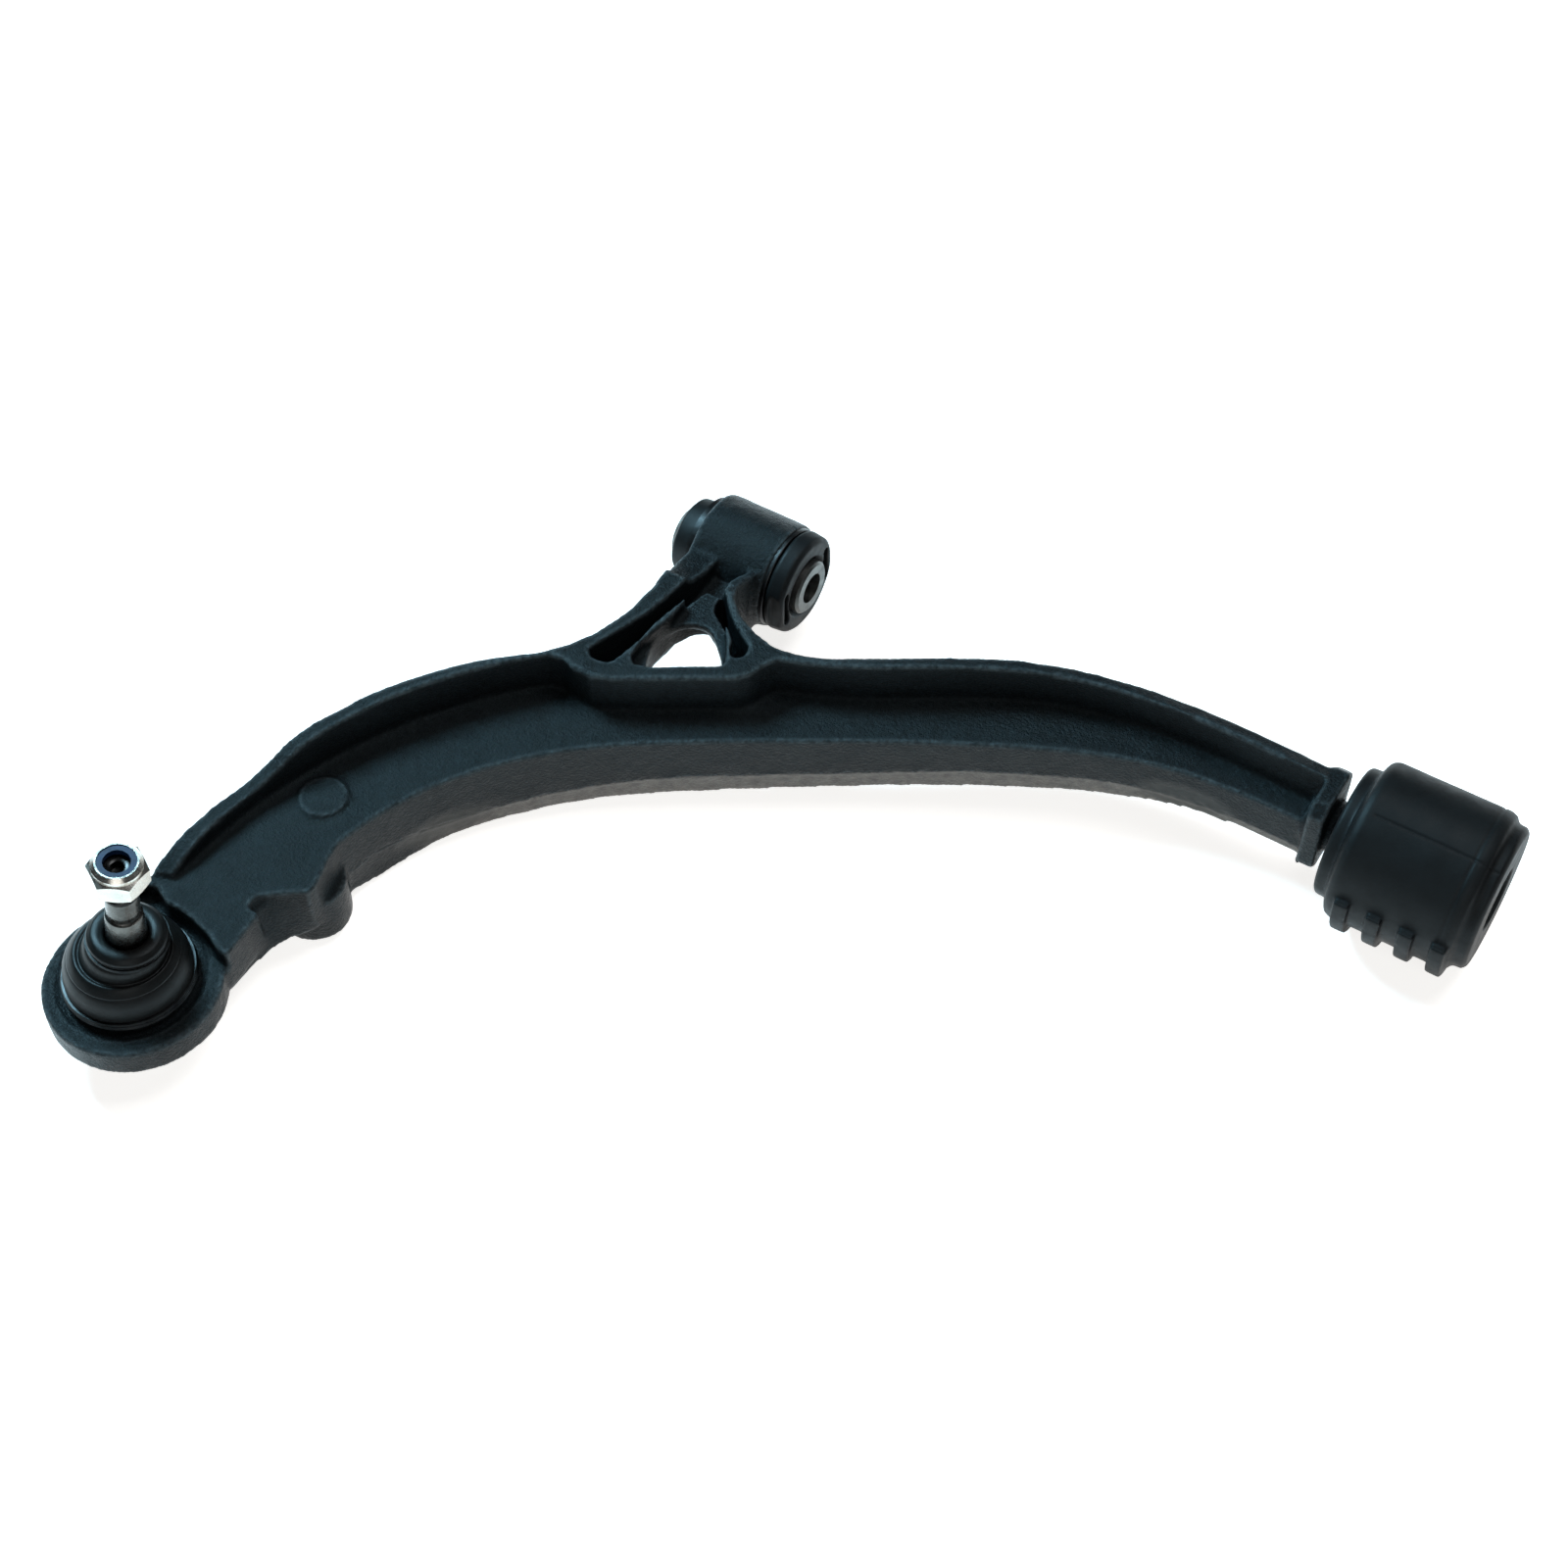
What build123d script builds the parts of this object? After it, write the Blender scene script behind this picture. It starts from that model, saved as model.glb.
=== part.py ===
from build123d import *
import math
import os

# Front lower control arm: a cast arm with a bonded rubber bush at the front
# pivot, a larger rubber bush on a spindle at the rear pivot, and a ball joint
# pressed into the boss at the outer end.
# Units are millimetres.  +X runs along the pivot axis from the front bush to
# the rear bush, +Z is up, and the origin is the centre of the front bush bore.

os.makedirs("parts", exist_ok=True)

# ---------------------------------------------------------------- dimensions
WEB_TOP = 5.0            # top of the arm's floor
WEB_T = 8.0              # thickness of the floor
RIB_TOP = 24.0           # top of the far rib and of the bush bracket
SKIRT_T = 9.0            # thickness of the near wall
STRIP_IN = 1.6           # step of the near wall below its parting line

BUSH_BORE_R = 6.5        # bolt bore of the front inner sleeve (M12 bolt)
BUSH_INNER_R = 11.4
BUSH_HALF = 30.5         # half length of the inner sleeve
FRONT_SLEEVE_R = 19.4    # press fit in the front eye
FRONT_SLEEVE_RI = 18.0
EYE_R = 22.2
EYE_X0, EYE_X1 = -16.8, 18.0

SPINDLE_R = 10.0
REAR_X0, REAR_X1 = 264.0, 326.0
REAR_LIP_R, REAR_BARREL_R, REAR_FLANGE_R = 25.9, 31.9, 28.6
REAR_LINER_RI, REAR_LINER_RO = 10.05, 12.5

BALL = (-82.5, -288.2, -8.0)      # centre of the ball
LEAN = 7.0                        # rest angle of the stud from vertical
LEAN_DIR = (0.867, 0.498)         # direction in which the stud leans
BALL_R = 13.0
LINER_RI, LINER_RO = 13.04, 14.96
CAVITY_R = 15.0
BOSS_R = 33.0
BOSS_C = (-81.2, -288.8)          # boss centre, a little off the ball's
BOSS_TOP, BOSS_BOT = -3.0, -15.0
HOUSING_R = 21.5
HOUSING_TOP, HOUSING_BOT = 1.0, -31.0

# ------------------------------------------------------------- plan outlines
NEAR = [(-51.0, -206.0), (-43.4, -179.4), (-30.8, -155.7), (-14.0, -134.9),
        (5.9, -116.7), (28.0, -100.8), (51.0, -85.9), (74.3, -71.5),
        (97.7, -57.4), (121.4, -43.9), (145.6, -31.2), (170.2, -20.0),
        (195.7, -12.0), (222.2, -8.8), (253.0, -8.4)]
OUT_L = [(-100.5, -253.0), (-98.8, -237.4), (-96.4, -221.7), (-93.2, -206.2),
         (-89.2, -190.8), (-84.2, -175.8), (-78.1, -161.3), (-70.8, -147.4),
         (-62.3, -134.3), (-52.5, -122.0), (-41.4, -110.7), (-29.0, -100.5)]
OUT_R = [(46.0, -51.6), (58.0, -49.4), (71.0, -42.8), (86.0, -33.2),
         (102.0, -22.8), (117.5, -13.2), (132.0, -5.8), (148.0, 0.2),
         (169.3, 5.7), (196.0, 9.1), (223.1, 9.7), (253.0, 8.5)]
IN_L = [(-92.0, -250.5), (-91.4, -235.1), (-89.7, -219.9), (-86.8, -204.9),
        (-82.9, -190.2), (-77.8, -175.9), (-71.7, -162.0), (-64.6, -148.5),
        (-56.6, -135.6), (-47.6, -123.3), (-37.7, -111.5), (-27.0, -100.8)]
IN_R = [(55.0, -55.0), (78.4, -44.0), (100.7, -30.2), (123.1, -16.7),
        (146.6, -6.2), (171.6, -0.1), (197.5, 2.7), (223.8, 3.0), (253.0, 2.0)]


def inset(points, distance):
    """The same path moved sideways, to the left of its direction."""
    moved = []
    for i, (x, y) in enumerate(points):
        ax, ay = points[max(i - 1, 0)]
        bx, by = points[min(i + 1, len(points) - 1)]
        n = math.hypot(bx - ax, by - ay)
        moved.append((x - (by - ay) / n * distance, y + (bx - ax) / n * distance))
    return moved


NEAR_IN = inset(NEAR, SKIRT_T)
NEAR_STEP = inset(NEAR, STRIP_IN)

# height of the near wall's parting line and of its lower edge, along Y
PARTING = [(-340, -16), (-205, -16), (-190, -15), (-172, -18), (-158, -20.4),
           (-140, -20.2), (-122, -19.4), (-105, -16.8), (-86, -15.8),
           (-65, -14.6), (-40, -11.5), (-14, -10.5), (-7, -10), (60, -10)]
LOWER = [(-340, -24), (-235, -24), (-215, -27), (-199, -31), (-189, -33),
         (-175, -32.2), (-160, -30.6), (-135, -30.8), (-113, -29.4),
         (-87, -27.8), (-66, -25.8), (-40, -23.4), (-20, -21.2), (-12, -19.6),
         (-8, -17), (-6, -15.5), (60, -15.5)]
# height of the far rib, along Y
CREST = [(-340, 3.5), (-256, 5.0), (-247, 9.5), (-238, 12.2), (-226, 13.5),
         (-205, 14.2), (-196, 16.6), (-187, 20.4), (-172, 22.8), (-152, 24),
         (-30, 24), (-8, 22.6), (3, 21.6), (8, 20.6), (60, 20.2)]

# ------------------------------------------------------------ the arm casting
with BuildPart() as arm_casting:
    # near wall above its parting line
    with BuildSketch(Plane.XY.offset(WEB_TOP)):
        with BuildLine():
            Spline(*NEAR)
            Line(NEAR[-1], NEAR_IN[-1])
            Spline(*reversed(NEAR_IN))
            Line(NEAR_IN[0], NEAR[0])
        make_face()
    extrude(amount=-30)
    with BuildSketch(Plane.YZ.offset(-160)):
        with BuildLine():
            Polyline(*PARTING, (60, -60), (-340, -60), close=True)
        make_face()
    extrude(amount=450, mode=Mode.SUBTRACT)
    # near wall below its parting line, stepped inwards
    with BuildSketch(Plane.XY.offset(-6)):
        with BuildLine():
            Spline(*NEAR_STEP)
            Line(NEAR_STEP[-1], NEAR_IN[-1])
            Spline(*reversed(NEAR_IN))
            Line(NEAR_IN[0], NEAR_STEP[0])
        make_face()
    extrude(amount=-34)
    with BuildSketch(Plane.YZ.offset(-160)):
        with BuildLine():
            Polyline(*LOWER, (60, -60), (-340, -60), close=True)
        make_face()
    extrude(amount=450, mode=Mode.SUBTRACT)

    # far rib, left and right of the bracket, with the wall that joins them
    with BuildSketch(Plane.XY.offset(-12)):
        with BuildLine():
            Spline(*OUT_L)
            Polyline(OUT_L[-1], (-14, -97), (-2.2, -93.4), (37.8, -68.4), OUT_R[0])
            Spline(*OUT_R)
            Line(OUT_R[-1], IN_R[-1])
            Spline(*reversed(IN_R))
            Polyline(IN_R[0], (49.5, -57), (46.5, -63), (44.5, -69),
                     (41, -73.5), (1, -98.5), (-7, -102), (-15.5, -101.5),
                     (-22, -99.5), IN_L[-1])
            Spline(*reversed(IN_L))
            Line(IN_L[0], OUT_L[0])
        make_face()
    extrude(amount=RIB_TOP + 12)
    with BuildSketch(Plane.YZ.offset(-160)):
        with BuildLine():
            Spline(*CREST[1:10])
            Polyline(*CREST[9:], (60, 60), (-340, 60), CREST[0], CREST[1])
        make_face()
    extrude(amount=450, mode=Mode.SUBTRACT)

    # floor of the arm, with the lobe over the lug
    with BuildSketch(Plane.XY.offset(WEB_TOP)):
        with BuildLine():
            Polyline(NEAR[0], (-49.6, -213.5), (-47.6, -220), (-46, -226),
                     (-46.6, -229.6), (-50, -231.4), (-54.5, -235),
                     (-59, -238.4), (-62, -241), (-61, -250), (-59, -266),
                     (-72, -274), (-96, -262), OUT_L[0])
            Spline(*[((a[0] + 3 * b[0]) / 4, (a[1] + 3 * b[1]) / 4)
                     if 0 < i < 11 else a
                     for i, (a, b) in enumerate(zip(OUT_L, IN_L))])
            Polyline(OUT_L[-1], (-14, -98), (-1.8, -93.9), (38.2, -68.9), OUT_R[0])
            Spline(*OUT_R)
            Line(OUT_R[-1], NEAR[-1])
            Spline(*reversed(NEAR))
        make_face()
    extrude(amount=-WEB_T)

    # flared wall between the boss and the lug, and the lug itself
    with BuildSketch(Plane.XY.offset(WEB_TOP - 4)):
        with BuildLine():
            Polyline((-46, -226), (-46.6, -229.6), (-50, -231.4),
                     (-54.5, -235), (-59.5, -240), (-60.5, -250),
                     (-58.5, -268), (-72, -272), (-76, -240), (-70, -205),
                     (-52.5, -204), (-49.6, -213.5), close=True)
        make_face()
    with BuildSketch(Plane.XY.offset(-19)):
        with BuildLine():
            Polyline((-46.4, -224), (-46.8, -229.2), (-49, -233),
                     (-52.5, -238), (-54.8, -244), (-56, -253),
                     (-56.5, -268), (-70, -272), (-76, -240), (-70, -205),
                     (-52.5, -202), (-49.2, -212.5), close=True)
        make_face()
    loft(ruled=True)
    with BuildSketch(Plane.XY.offset(-31)):
        with Locations((-58.6, -217)):
            Circle(14.0)
    extrude(amount=21)
    # ball joint boss
    with BuildSketch(Plane.XY.offset(BOSS_BOT)):
        with Locations(BOSS_C):
            Circle(BOSS_R)
    extrude(amount=BOSS_TOP - BOSS_BOT)
    # gusset from the boss up to the floor
    with BuildSketch(Plane.XY.offset(BOSS_BOT)):
        with BuildLine():
            Polyline((-54, -268), (-56, -246), (-97, -246), (-101, -254),
                     (-109, -268), (-84, -276), close=True)
        make_face()
    extrude(amount=WEB_TOP - BOSS_BOT)
    # flange recess for the ball joint, cut into the end of the floor
    with BuildSketch(Plane.XY.offset(BOSS_TOP)):
        with Locations(BALL[:2]):
            Circle(28.4)
    extrude(amount=30, mode=Mode.SUBTRACT)
    with BuildSketch(Plane.XY.offset(BOSS_TOP)):
        with Locations(BOSS_C):
            Circle(BOSS_R + 3)
        with BuildLine():
            Polyline((-160, -262), (-99.5, -254.2), (-86, -261), (-76, -260.5),
                     (-66, -263), (-59, -266.5), (-40, -268), (-40, -345),
                     (-160, -345), close=True)
        make_face(mode=Mode.INTERSECT)
    extrude(amount=30, mode=Mode.SUBTRACT)
    # spot face and bore
    with BuildSketch(Plane.XY.offset(BOSS_TOP)):
        with Locations(BALL[:2]):
            Circle(27.4)
    extrude(amount=-1.4, mode=Mode.SUBTRACT)
    with BuildSketch(Plane.XY.offset(BOSS_BOT - 10)):
        with Locations(BALL[:2]):
            Circle(HOUSING_R)
    extrude(amount=40, mode=Mode.SUBTRACT)

    # round raised pad on the floor
    with BuildSketch(Plane.XY.offset(WEB_TOP)):
        with Locations((-68.5, -191.8)):
            Circle(9.2)
    extrude(amount=1.6)

    # bracket that carries the front eye
    with BuildSketch(Plane.XY.offset(-14)):
        with BuildLine():
            Polyline((-31, -102), (-23.5, -92.5), (-18, -82), (-13.6, -66),
                     (-12.4, -50), (-13.4, -40), (-15.4, -30), (-16, -14), (15, -14),
                     (15.4, -32), (18.4, -39), (25, -45), (35, -49.6),
                     (47, -52.4), (46, -60), (40, -71), (0, -95),
                     (-12, -98), close=True)
        make_face()
    extrude(amount=RIB_TOP + 14)
    # left pocket
    with BuildSketch(Plane.XY.offset(RIB_TOP)):
        with BuildLine():
            Polyline((-15.5, -90.6), (-14.6, -87), (-10.6, -75.5),
                     (-6.4, -63), (-4.6, -53), (-3.4, -42), (-3, -36),
                     (4.2, -36), (3.4, -41), (1.6, -50), (-0.4, -60),
                     (-1.4, -68), (-1.6, -76), (-4.0, -89.0),
                     (-5.6, -92.4), (-12.4, -93.2), close=True)
        make_face()
    extrude(amount=-17, mode=Mode.SUBTRACT)
    # right pocket
    with BuildSketch(Plane.XY.offset(RIB_TOP)):
        with BuildLine():
            Polyline((10.8, -41), (10.8, -36), (13.6, -38), (19.4, -44.5), (27, -51),
                     (36.5, -57), (37.4, -62), (34.5, -65), (31.4, -63),
                     (29, -57.4), (22, -51), (13, -45), close=True)
        make_face()
    extrude(amount=-17, mode=Mode.SUBTRACT)
    # lowered tongue between the pockets
    with BuildSketch(Plane.XY.offset(RIB_TOP)):
        with BuildLine():
            Polyline((2.6, -44), (5, -31), (11.4, -31), (13.2, -41),
                     (23.6, -53.4), (29.4, -62), (32.6, -68.4), (32.4, -71.0),
                     (10.0, -85.4), (3.4, -87.6), (0.2, -84.6), (-0.6, -76),
                     (2.4, -60), close=True)
        make_face()
    extrude(amount=-6, mode=Mode.SUBTRACT)
    # hollow between the ribs, beside the eye, and the ribs' ends
    with BuildSketch(Plane.YZ.offset(-3)):
        with BuildLine():
            Polyline((-36.4, 30), (-37.4, 16), (-36.4, 7), (-8, 7), (-8, 30),
                     close=True)
        make_face()
    extrude(amount=14, mode=Mode.SUBTRACT)
    with BuildSketch(Plane.YZ.offset(-20)):
        with BuildLine():
            Polyline((-40, 30), (-40, 24), (-37, 20), (-29, 16.5),
                     (-19, 14.5), (-8, 14), (-8, 30), close=True)
        make_face()
    extrude(amount=17, mode=Mode.SUBTRACT)
    with BuildSketch(Plane.YZ.offset(11)):
        with BuildLine():
            Polyline((-38, 30), (-38, 24), (-31, 22.4), (-25, 19.8),
                     (-19, 16.2), (-14, 14.5), (-8, 14.5), (-8, 30), close=True)
        make_face()
    extrude(amount=10, mode=Mode.SUBTRACT)
    # D-shaped window
    with BuildSketch(Plane.XY.offset(RIB_TOP)):
        with BuildLine():
            Polyline((32.4, -71.0), (10.0, -85.4), (6.0, -83.4), (2.4, -76.0))
            Spline((2.4, -76.0), (1.0, -67.8), (2.7, -61.0), (7.8, -55.4),
                   (14.3, -53.3), (19.4, -55.6), (23.4, -59.2),
                   (27.8, -63.6), (30.2, -67.6))
            Line((30.2, -67.6), (32.4, -71.0))
        make_face()
    extrude(amount=-60, mode=Mode.SUBTRACT)
    # the web around the window is thin, and hollow underneath
    with BuildSketch(Plane.XY.offset(14)):
        with BuildLine():
            Polyline((32.6, -70.8), (10.0, -85.2), (4.2, -85.4), (1.8, -76),
                     (0.9, -68), (2.4, -58), (6.2, -49.4), (10.6, -46.4),
                     (19.6, -52.2), (26.6, -60.2), (31.4, -66.6), close=True)
        make_face()
    extrude(amount=-50, mode=Mode.SUBTRACT)
    with BuildSketch(Plane.XY.offset(4)):
        with BuildLine():
            Polyline((-15.4, -90), (-12.5, -80), (-8.6, -65), (-7, -50),
                     (-6.4, -36), (-6.2, -28), (10, -28), (10.6, -34),
                     (14, -42), (22, -49.5), (33, -55), (38, -60),
                     (36.5, -68.2), (-1.5, -92.2), (-9, -96), close=True)
        make_face()
    extrude(amount=-30, mode=Mode.SUBTRACT)

    # front eye
    with BuildSketch(Plane.YZ.offset(EYE_X0)):
        Circle(EYE_R)
    extrude(amount=EYE_X1 - EYE_X0)
    with BuildSketch(Plane.YZ.offset(EYE_X0)):
        Circle(FRONT_SLEEVE_R)
    extrude(amount=EYE_X1 - EYE_X0, mode=Mode.SUBTRACT)

    # collar and spindle for the rear bush
    with BuildSketch(Plane.YZ.offset(252.5)):
        with Locations((0, 2.2)):
            Rectangle(28, 37.6)
    extrude(amount=7)
    chamfer(arm_casting.edges().filter_by(Axis.X)
            .filter_by_position(Axis.X, 255, 257)
            .filter_by(lambda e: abs(abs(e.center().Y) - 14) < 0.1), 5)
    with BuildSketch(Plane.YZ.offset(250)):
        Circle(SPINDLE_R)
    extrude(amount=REAR_X1 - 8 - 250)

arm_casting.part.label = "arm_casting"
export_step(arm_casting.part, "parts/arm_casting.step")

# ----------------------------------------------------------------- front bush
with BuildPart() as front_bush_outer_sleeve:
    with BuildSketch(Plane.YZ.offset(-19.6)):
        Circle(FRONT_SLEEVE_R)
    extrude(amount=39.4)
    with BuildSketch(Plane.YZ.offset(EYE_X1)):
        Circle(21.2)
    extrude(amount=1.8)
    with BuildSketch(Plane.YZ.offset(-30)):
        Circle(FRONT_SLEEVE_RI)
    extrude(amount=60, mode=Mode.SUBTRACT)
    fillet(front_bush_outer_sleeve.edges().filter_by(GeomType.CIRCLE)
           .filter_by(lambda e: e.radius > 21 and e.center().X > 19), 0.6)
front_bush_outer_sleeve.part.label = "front_bush_outer_sleeve"
export_step(front_bush_outer_sleeve.part, "parts/front_bush_outer_sleeve.step")

with BuildPart() as front_bush_rubber:
    with BuildSketch(Plane.XZ):
        with BuildLine():
            Polyline((-28.4, 11.45), (-28.4, 13.6), (-26.8, 16.0),
                     (-20.2, 16.8), (-19.0, 18), (19.8, 18), (20.2, 20.6),
                     (21.4, 21.4), (26.6, 20.8), (28.2, 19.0), (28.2, 13.6),
                     (25.4, 11.45), close=True)
        make_face()
    revolve(axis=Axis.X)
    # moulded slots beside the sleeve, open at the visible end
    with BuildSketch(Plane.YZ.offset(29)):
        with Locations((-15.2, 0), (15.2, 0)):
            SlotOverall(17, 3.4, rotation=90)
    extrude(amount=-17, mode=Mode.SUBTRACT)
    # flats on the end flange
    with BuildSketch(Plane.YZ.offset(22.6)):
        Circle(30)
        Rectangle(38.4, 60, mode=Mode.SUBTRACT)
    extrude(amount=8, mode=Mode.SUBTRACT)
front_bush_rubber.part.label = "front_bush_rubber"
export_step(front_bush_rubber.part, "parts/front_bush_rubber.step")

with BuildPart() as front_bush_inner_sleeve:
    with BuildSketch(Plane.YZ.offset(-BUSH_HALF)):
        Circle(BUSH_INNER_R)
        Circle(BUSH_BORE_R, mode=Mode.SUBTRACT)
    extrude(amount=2 * BUSH_HALF)
    chamfer(front_bush_inner_sleeve.edges().filter_by(GeomType.CIRCLE)
            .filter_by(lambda e: e.radius > 10), 1.0)
front_bush_inner_sleeve.part.label = "front_bush_inner_sleeve"
export_step(front_bush_inner_sleeve.part, "parts/front_bush_inner_sleeve.step")

# ------------------------------------------------------------------ rear bush
with BuildPart() as rear_bush_rubber:
    with BuildSketch(Plane.XZ):
        with BuildLine():
            Polyline((REAR_X0, REAR_LINER_RO), (REAR_X0, REAR_LIP_R - 1),
                     (REAR_X0 + 1, REAR_LIP_R), (269.4, REAR_LIP_R + 0.2),
                     (269.9, REAR_BARREL_R - 3.4), (270.9, REAR_BARREL_R - 1.1),
                     (273.3, REAR_BARREL_R), (317.2, REAR_BARREL_R),
                     (319.8, REAR_BARREL_R - 1.0), (321, REAR_BARREL_R - 3.1),
                     (324.6, REAR_FLANGE_R), (REAR_X1, REAR_FLANGE_R - 1.6),
                     (REAR_X1, REAR_LINER_RO), close=True)
        make_face()
    revolve(axis=Axis.X)
    # grip ribs on the lower near side of the barrel
    for rib_x in (275.0, 287.8, 300.6, 313.2):
        with BuildSketch(Plane.YZ.offset(rib_x)):
            Circle(REAR_BARREL_R + 3.2)
            Circle(REAR_BARREL_R - 1, mode=Mode.SUBTRACT)
            with BuildLine():
                Polyline((0, 0), (-80, 6), (-80, -80), (14, -80), close=True)
            make_face(mode=Mode.INTERSECT)
        extrude(amount=5.8)
rear_bush_rubber.part.label = "rear_bush_rubber"
export_step(rear_bush_rubber.part, "parts/rear_bush_rubber.step")

with BuildPart() as rear_bush_inner_sleeve:
    with BuildSketch(Plane.YZ.offset(REAR_X0 - 1.6)):
        Circle(REAR_LINER_RO)
        Circle(REAR_LINER_RI, mode=Mode.SUBTRACT)
    extrude(amount=REAR_X1 - REAR_X0)
rear_bush_inner_sleeve.part.label = "rear_bush_inner_sleeve"
export_step(rear_bush_inner_sleeve.part, "parts/rear_bush_inner_sleeve.step")

# ----------------------------------------------------------------- ball joint
BX, BY, BZ = BALL
with BuildPart() as ball_joint_housing:
    with BuildSketch(Plane.XZ.offset(-BY)):
        with BuildLine():
            Polyline((BX, HOUSING_BOT), (BX + 18.5, HOUSING_BOT),
                     (BX + 20, HOUSING_BOT + 1.5), (BX + 20, BOSS_BOT - 0.4),
                     (BX + HOUSING_R, BOSS_BOT - 0.4),
                     (BX + HOUSING_R, -3.9), (BX + 21.0, -3.4),
                     (BX + 21.0, HOUSING_TOP), (BX + 17.5, HOUSING_TOP),
                     (BX + 16.4, -2), (BX, -2), close=True)
        make_face()
    revolve(axis=Axis((BX, BY, 0), (0, 0, 1)))
    with Locations(BALL):
        Sphere(CAVITY_R, mode=Mode.SUBTRACT)
    with BuildSketch(Plane.XY.offset(HOUSING_BOT)):
        with Locations((BX, BY)):
            Circle(13.6)
    extrude(amount=13, mode=Mode.SUBTRACT)
    with BuildSketch(Plane.XY.offset(HOUSING_BOT)):
        with Locations((BX, BY)):
            Circle(16.0)
    extrude(amount=3.2, mode=Mode.SUBTRACT)
ball_joint_housing.part.label = "ball_joint_housing"
export_step(ball_joint_housing.part, "parts/ball_joint_housing.step")

with BuildPart() as bearing_seat:
    with BuildSketch(Plane.XY.offset(HOUSING_BOT + 6.2)):
        with Locations((BX, BY)):
            Circle(13.5)
    extrude(amount=6.6)
    with Locations(BALL):
        Sphere(CAVITY_R, mode=Mode.SUBTRACT)
bearing_seat.part.label = "bearing_seat"
export_step(bearing_seat.part, "parts/bearing_seat.step")

with BuildPart() as preload_spring:
    with BuildSketch(Plane.XZ.offset(-BY)):
        with BuildLine():
            Polyline((BX + 6, HOUSING_BOT + 5.0), (BX + 13.2, HOUSING_BOT + 3.3),
                     (BX + 13.2, HOUSING_BOT + 4.5), (BX + 6, HOUSING_BOT + 6.2),
                     close=True)
        make_face()
    revolve(axis=Axis((BX, BY, 0), (0, 0, 1)))
preload_spring.part.label = "preload_spring"
export_step(preload_spring.part, "parts/preload_spring.step")

with BuildPart() as cover_plate:
    with BuildSketch(Plane.XY.offset(HOUSING_BOT + 0.7)):
        with Locations((BX, BY)):
            Circle(15.95)
    extrude(amount=2.5)
    chamfer(cover_plate.faces().sort_by(Axis.Z)[0].edges(), 0.6)
cover_plate.part.label = "cover_plate"
export_step(cover_plate.part, "parts/cover_plate.step")

# socket liner: a thin shell between the ball and the cup
with BuildPart() as ball_liner:
    with Locations(BALL):
        Sphere(LINER_RO)
        Sphere(LINER_RI, mode=Mode.SUBTRACT)
    with BuildSketch(Plane.XY.offset(BZ + 6.2)):
        with Locations((BX, BY)):
            Circle(20)
    extrude(amount=20, mode=Mode.SUBTRACT)
    with BuildSketch(Plane.XY.offset(BZ - 13.2)):
        with Locations((BX, BY)):
            Circle(20)
    extrude(amount=-20, mode=Mode.SUBTRACT)
ball_liner.part.label = "ball_liner"
export_step(ball_liner.part, "parts/ball_liner.step")

# stud, nut and the top of the boot lean together about the ball centre
_a = math.radians(LEAN)
LEAN_N = math.hypot(*LEAN_DIR)
UX, UY = LEAN_DIR[0] / LEAN_N, LEAN_DIR[1] / LEAN_N
STUD_Z = (UX * math.sin(_a), UY * math.sin(_a), math.cos(_a))
STUD_X = (UX * math.cos(_a), UY * math.cos(_a), -math.sin(_a))
STUD_PLANE = Plane(origin=BALL, x_dir=STUD_X, z_dir=STUD_Z)
STUD_PROFILE = Plane(origin=BALL, x_dir=STUD_X, z_dir=(UY, -UX, 0))
STUD_AXIS = Axis(BALL, STUD_Z)
NUT_S0, NUT_S1 = 64.6, 76.0       # nut's two ends, along the stud

with BuildPart() as ball_stud:
    with Locations(BALL):
        Sphere(BALL_R)
    with BuildSketch(STUD_PROFILE):
        with BuildLine():
            Polyline((0, 0), (7.2, 0), (7.2, 15), (8.6, 21), (8.6, 26),
                     (7.5, 30.5), (7.3, 34), (6.7, 45.2), (5.7, 45.6),
                     (5.7, 46.8), (6.0, 47.2), (6.0, 71.6), (5.2, 72.6),
                     (0, 72.6), close=True)
        make_face()
    revolve(axis=STUD_AXIS)
    # hexagon socket in the end
    with BuildSketch(STUD_PLANE.offset(72.6)):
        RegularPolygon(2.6, 6)
    extrude(amount=-4, mode=Mode.SUBTRACT)
ball_stud.part.label = "ball_stud"
export_step(ball_stud.part, "parts/ball_stud.step")

with BuildPart() as lock_nut:
    with BuildSketch(STUD_PLANE.offset(NUT_S0)):
        RegularPolygon(10.97, 6, rotation=2)
    extrude(amount=8.4)
    with BuildSketch(STUD_PLANE.offset(NUT_S0 + 8.4)):
        Circle(9.0)
    extrude(amount=NUT_S1 - NUT_S0 - 8.4)
    # chamfered corners, top and bottom of the hexagon
    with BuildSketch(STUD_PROFILE):
        with BuildLine():
            Polyline((9.2, NUT_S0), (11.4, NUT_S0), (11.4, NUT_S0 + 1.4),
                     close=True)
        make_face()
        with BuildLine():
            Polyline((9.0, NUT_S0 + 8.4), (11.4, NUT_S0 + 8.4),
                     (11.4, NUT_S0 + 7.0), close=True)
        make_face()
        with BuildLine():
            Polyline((9.1, NUT_S1), (9.1, NUT_S1 - 1.5), (7.6, NUT_S1),
                     close=True)
        make_face()
    revolve(axis=STUD_AXIS, mode=Mode.SUBTRACT)
    # threaded bore and the pocket for the nylon ring
    with BuildSketch(STUD_PLANE.offset(NUT_S0)):
        Circle(6.05)
    extrude(amount=12, mode=Mode.SUBTRACT)
    with BuildSketch(STUD_PLANE.offset(NUT_S0 + 7.6)):
        Circle(7.0)
    extrude(amount=4, mode=Mode.SUBTRACT)
lock_nut.part.label = "lock_nut"
export_step(lock_nut.part, "parts/lock_nut.step")

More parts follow.
